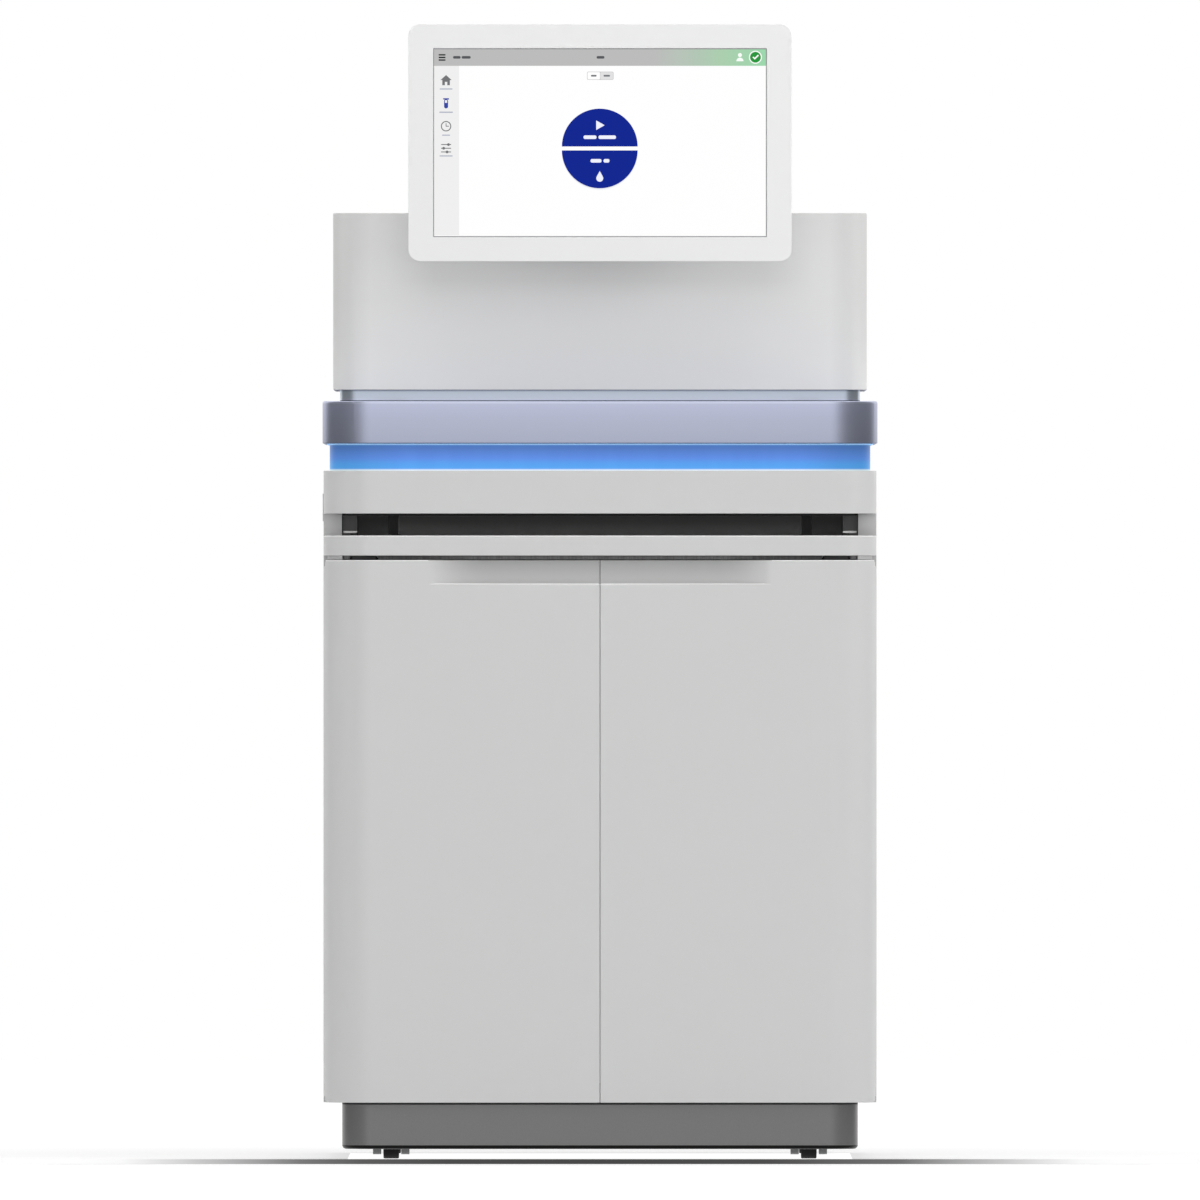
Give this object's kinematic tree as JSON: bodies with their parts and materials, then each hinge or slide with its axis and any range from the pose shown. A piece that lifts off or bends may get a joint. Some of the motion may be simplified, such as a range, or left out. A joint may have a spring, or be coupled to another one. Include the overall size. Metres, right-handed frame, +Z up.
{
  "type": "dna sequencer",
  "caption": "Floor-standing DNA sequencer: doored cabinet on casters, keyboard tray, light band, hinged flow cell lid, optics hood and tilting touch screen.",
  "frame": {"origin": "middle of the footprint, on the floor under the wheels", "axes": "+Z up, +X to the right of someone facing the doors, -Y towards them"},
  "size_m": [0.805, 0.945, 1.646],
  "materials": {
    "white_panel": "satin powder coat",
    "white_moulding": "fine satin moulding",
    "screen_white": "satin moulding",
    "belt_metal": "anodised, fine brushed",
    "neck_metal": "anodised, fine brushed",
    "light_lens": "lit translucent acrylic",
    "circuit_green": "solder mask",
    "skirt_grey": "fine texture",
    "frame_steel": "dark powder coat",
    "sheet_grey": "grey powder coat",
    "zinc_steel": "zinc plated",
    "black_metal": "black powder coat",
    "black_plastic": "textured",
    "bay_white": "smooth moulding",
    "drawer_grey": "smooth moulding",
    "bottle_plastic": "translucent polyethylene",
    "glass_screen": "lit display behind glass",
    "bench_metal": "machined",
    "module_black": "anodised black",
    "module_grey": "galvanised casing",
    "lens_black": "black anodised",
    "stage_metal": "clear anodised",
    "tyre": "polyurethane tread",
    "caster_grey": "zinc plated",
    "button_blue": "satin"
  },
  "bodies": {
    "cabinet": {"base_frame": "frame_steel", "plinth_skirt": "skirt_grey", "upright_frame": "frame_steel", "side_panel_left": "white_panel", "side_panel_right": "white_panel", "rear_panel": "sheet_grey", "bay_liner": "bay_white", "front_fascia": "white_moulding", "tray_bay_liner": "black_metal", "tray_slides": "zinc_steel", "status_light_lens": "light_lens", "status_light_board": "circuit_green", "belt_trim": "belt_metal", "flow_cell_deck": "stage_metal", "neck_trim": "neck_metal", "optics_cover": "white_moulding", "optics_bench": "bench_metal", "camera_module": "module_black", "laser_module": "module_grey", "objective_lens": "lens_black", "power_supply": "module_grey", "computer_module": "module_grey", "fan_housings": "black_plastic", "mains_inlet": "black_plastic", "io_port_plate": "zinc_steel", "monitor_bracket": "frame_steel", "door_catches": "black_plastic", "door_hinge_brackets": "zinc_steel", "lid_hinge_brackets": "zinc_steel", "panel_screws": "zinc_steel", "pump_modules": "module_black", "caster_mounts": "caster_grey", "side_port_plate": "black_plastic", "used_reagent_bottle_left": "bottle_plastic", "used_reagent_bottle_right": "bottle_plastic"},
    "monitor": {"monitor_bezel": "screen_white", "monitor_glass": "glass_screen", "monitor_back_cover": "screen_white"},
    "left_door": {"left_door": "white_moulding", "left_door_liner": "bay_white"},
    "right_door": {"right_door": "white_moulding", "right_door_liner": "bay_white"},
    "tray": {"keyboard_tray": "black_metal", "tray_front": "white_moulding"},
    "lid": {"lid_panel": "belt_metal", "lid_band": "belt_metal"},
    "left_chiller": {"chiller_drawer_left": "drawer_grey"},
    "right_chiller": {"chiller_drawer_right": "drawer_grey"},
    "left_buffer": {"buffer_drawer_left": "drawer_grey"},
    "right_buffer": {"buffer_drawer_right": "drawer_grey"},
    "stage": {"flow_cell_stage": "stage_metal"},
    "button": {"power_button": "button_blue"},
    "left_fan": {"fan_rotor_left": "black_plastic"},
    "right_fan": {"fan_rotor_right": "black_plastic"},
    "left_fork": {"caster_fork_front_left": "caster_grey"},
    "right_fork": {"caster_fork_front_right": "caster_grey"},
    "front_left_wheel": {"caster_wheel_front_left": "tyre"},
    "front_right_wheel": {"caster_wheel_front_right": "tyre"},
    "rear_left_wheel": {"caster_wheel_rear_left": "tyre"},
    "rear_right_wheel": {"caster_wheel_rear_right": "tyre"}
  },
  "joints": [
    {"name": "left_door_hinge", "type": "hinge", "parent": "cabinet", "child": "left_door", "pos_m": [-0.391, -0.411, 0.475], "axis": [0, 0, -1], "range_deg": [0, 110]},
    {"name": "right_door_hinge", "type": "hinge", "parent": "cabinet", "child": "right_door", "pos_m": [0.391, -0.411, 0.475], "axis": [0, 0, 1], "range_deg": [0, 110]},
    {"name": "left_chiller_slide", "type": "slide", "parent": "cabinet", "child": "left_chiller", "axis": [0, -1, 0], "range_m": [0, 0.33]},
    {"name": "right_chiller_slide", "type": "slide", "parent": "cabinet", "child": "right_chiller", "axis": [0, -1, 0], "range_m": [0, 0.33]},
    {"name": "left_buffer_slide", "type": "slide", "parent": "cabinet", "child": "left_buffer", "axis": [0, -1, 0], "range_m": [0, 0.33]},
    {"name": "right_buffer_slide", "type": "slide", "parent": "cabinet", "child": "right_buffer", "axis": [0, -1, 0], "range_m": [0, 0.33]},
    {"name": "tray_slide", "type": "slide", "parent": "cabinet", "child": "tray", "axis": [0, -1, 0], "range_m": [0, 0.28]},
    {"name": "lid_hinge", "type": "hinge", "parent": "cabinet", "child": "lid", "pos_m": [0, -0.264, 1.094], "axis": [-1, 0, 0], "range_deg": [0, 65]},
    {"name": "stage_slide", "type": "slide", "parent": "cabinet", "child": "stage", "axis": [0, 1, 0], "range_m": [0, 0.25]},
    {"name": "monitor_tilt", "type": "hinge", "parent": "cabinet", "child": "monitor", "pos_m": [0, -0.322, 1.44], "axis": [-1, 0, 0], "range_deg": [-5, 20]},
    {"name": "power_button_press", "type": "slide", "parent": "cabinet", "child": "button", "axis": [1, 0, 0], "range_m": [0, 0.0025], "stiffness_N_per_m": 500},
    {"name": "left_fan_spin", "type": "hinge", "parent": "cabinet", "child": "left_fan", "pos_m": [-0.17, 0.45, 0.82], "axis": [0, 1, 0], "continuous": true},
    {"name": "right_fan_spin", "type": "hinge", "parent": "cabinet", "child": "right_fan", "pos_m": [0.17, 0.45, 0.82], "axis": [0, 1, 0], "continuous": true},
    {"name": "left_caster_swivel", "type": "hinge", "parent": "cabinet", "child": "left_fork", "pos_m": [-0.303, -0.369, 0.06], "axis": [0, 0, 1], "continuous": true},
    {"name": "right_caster_swivel", "type": "hinge", "parent": "cabinet", "child": "right_fork", "pos_m": [0.303, -0.369, 0.06], "axis": [0, 0, 1], "continuous": true},
    {"name": "front_left_wheel_roll", "type": "hinge", "parent": "left_fork", "child": "front_left_wheel", "pos_m": [-0.303, -0.351, 0.025], "axis": [1, 0, 0], "continuous": true},
    {"name": "front_right_wheel_roll", "type": "hinge", "parent": "right_fork", "child": "front_right_wheel", "pos_m": [0.303, -0.351, 0.025], "axis": [1, 0, 0], "continuous": true},
    {"name": "rear_left_wheel_roll", "type": "hinge", "parent": "cabinet", "child": "rear_left_wheel", "pos_m": [-0.303, 0.369, 0.025], "axis": [1, 0, 0], "continuous": true},
    {"name": "rear_right_wheel_roll", "type": "hinge", "parent": "cabinet", "child": "rear_right_wheel", "pos_m": [0.303, 0.369, 0.025], "axis": [1, 0, 0], "continuous": true}
  ],
  "couplings": [
    {"joint": "left_chiller_slide", "follows": "left_door_hinge", "m_per_rad": 0.17},
    {"joint": "left_buffer_slide", "follows": "left_door_hinge", "m_per_rad": 0.17},
    {"joint": "right_chiller_slide", "follows": "right_door_hinge", "m_per_rad": 0.17},
    {"joint": "right_buffer_slide", "follows": "right_door_hinge", "m_per_rad": 0.17}
  ]
}
